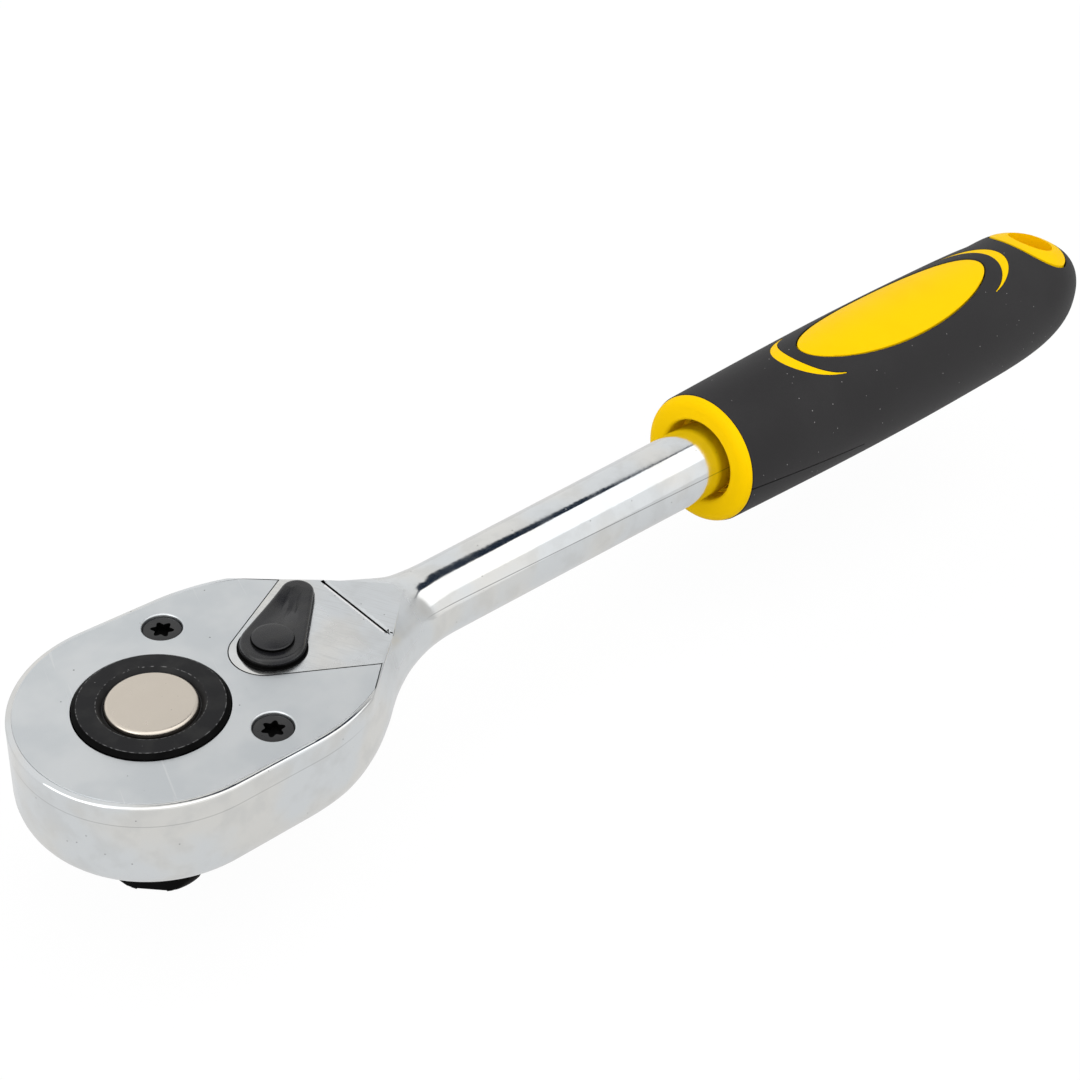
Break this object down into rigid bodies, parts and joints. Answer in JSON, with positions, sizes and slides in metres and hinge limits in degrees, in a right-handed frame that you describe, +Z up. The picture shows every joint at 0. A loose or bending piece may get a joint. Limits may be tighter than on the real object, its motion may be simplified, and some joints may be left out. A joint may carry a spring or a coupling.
{
  "type": "socket ratchet",
  "caption": "Reversible socket ratchet: pear-shaped chrome head with a square drive, release button and reversing lever, on a round shank with a rubber-covered plastic handle and a hang hole.",
  "frame": {"origin": "centre of the square drive's end face, on the drive axis", "axes": "+Z up the drive axis towards the release button, +X along the handle"},
  "size_m": [0.2499, 0.0392, 0.042],
  "materials": {
    "chrome": "polished chrome plate",
    "satin_chrome": "satin chrome plate with fine scratches",
    "black_steel": "black oxide, satin",
    "nickel": "bright nickel",
    "steel": "bare steel",
    "seal": "matte",
    "yellow_plastic": "satin moulded",
    "grip_rubber": "matte, finely grained"
  },
  "bodies": {
    "frame": {"ratchet_body": "chrome", "cover_plate": "satin_chrome", "cover_screw_left": "black_steel", "cover_screw_right": "black_steel", "gear_washer": "steel", "pawl_pin": "steel", "handle_core": "yellow_plastic", "rubber_grip": "grip_rubber"},
    "drive": {"drive_gear": "black_steel", "hub_seal": "seal", "release_spring": "steel"},
    "release": {"release_button": "nickel", "release_pin": "steel"},
    "ball": {"socket_ball": "steel"},
    "lever": {"reverse_lever": "black_steel", "lever_spindle": "black_steel", "lever_o_ring": "seal", "lever_clip": "steel", "pawl_plunger": "steel", "plunger_spring": "steel"},
    "pawl": {"pawl": "steel"}
  },
  "joints": [
    {"name": "drive_spin", "type": "hinge", "parent": "frame", "child": "drive", "pos_m": [0, 0, 0.0148], "axis": [0, 0, 1], "continuous": true},
    {"name": "release_press", "type": "slide", "parent": "drive", "child": "release", "axis": [0, 0, -1], "range_m": [0, 0.0025], "stiffness_N_per_m": 600, "springref_m": -0.003, "deforming": ["release_spring"]},
    {"name": "ball_retract", "type": "slide", "parent": "drive", "child": "ball", "axis": [-0.7071, -0.7071, 0], "range_m": [0, 0.00115]},
    {"name": "lever_turn", "type": "hinge", "parent": "frame", "child": "lever", "pos_m": [0.0201, 0, 0.0296], "axis": [0, 0, 1], "range_deg": [-72, 0]},
    {"name": "pawl_rock", "type": "hinge", "parent": "frame", "child": "pawl", "pos_m": [0.015, 0, 0.0206], "axis": [0, 0, 1], "range_deg": [0, 9]}
  ],
  "couplings": [
    {"joint": "ball_retract", "follows": "release_press", "ratio": 0.46},
    {"joint": "pawl_rock", "follows": "lever_turn", "ratio": -0.125}
  ]
}
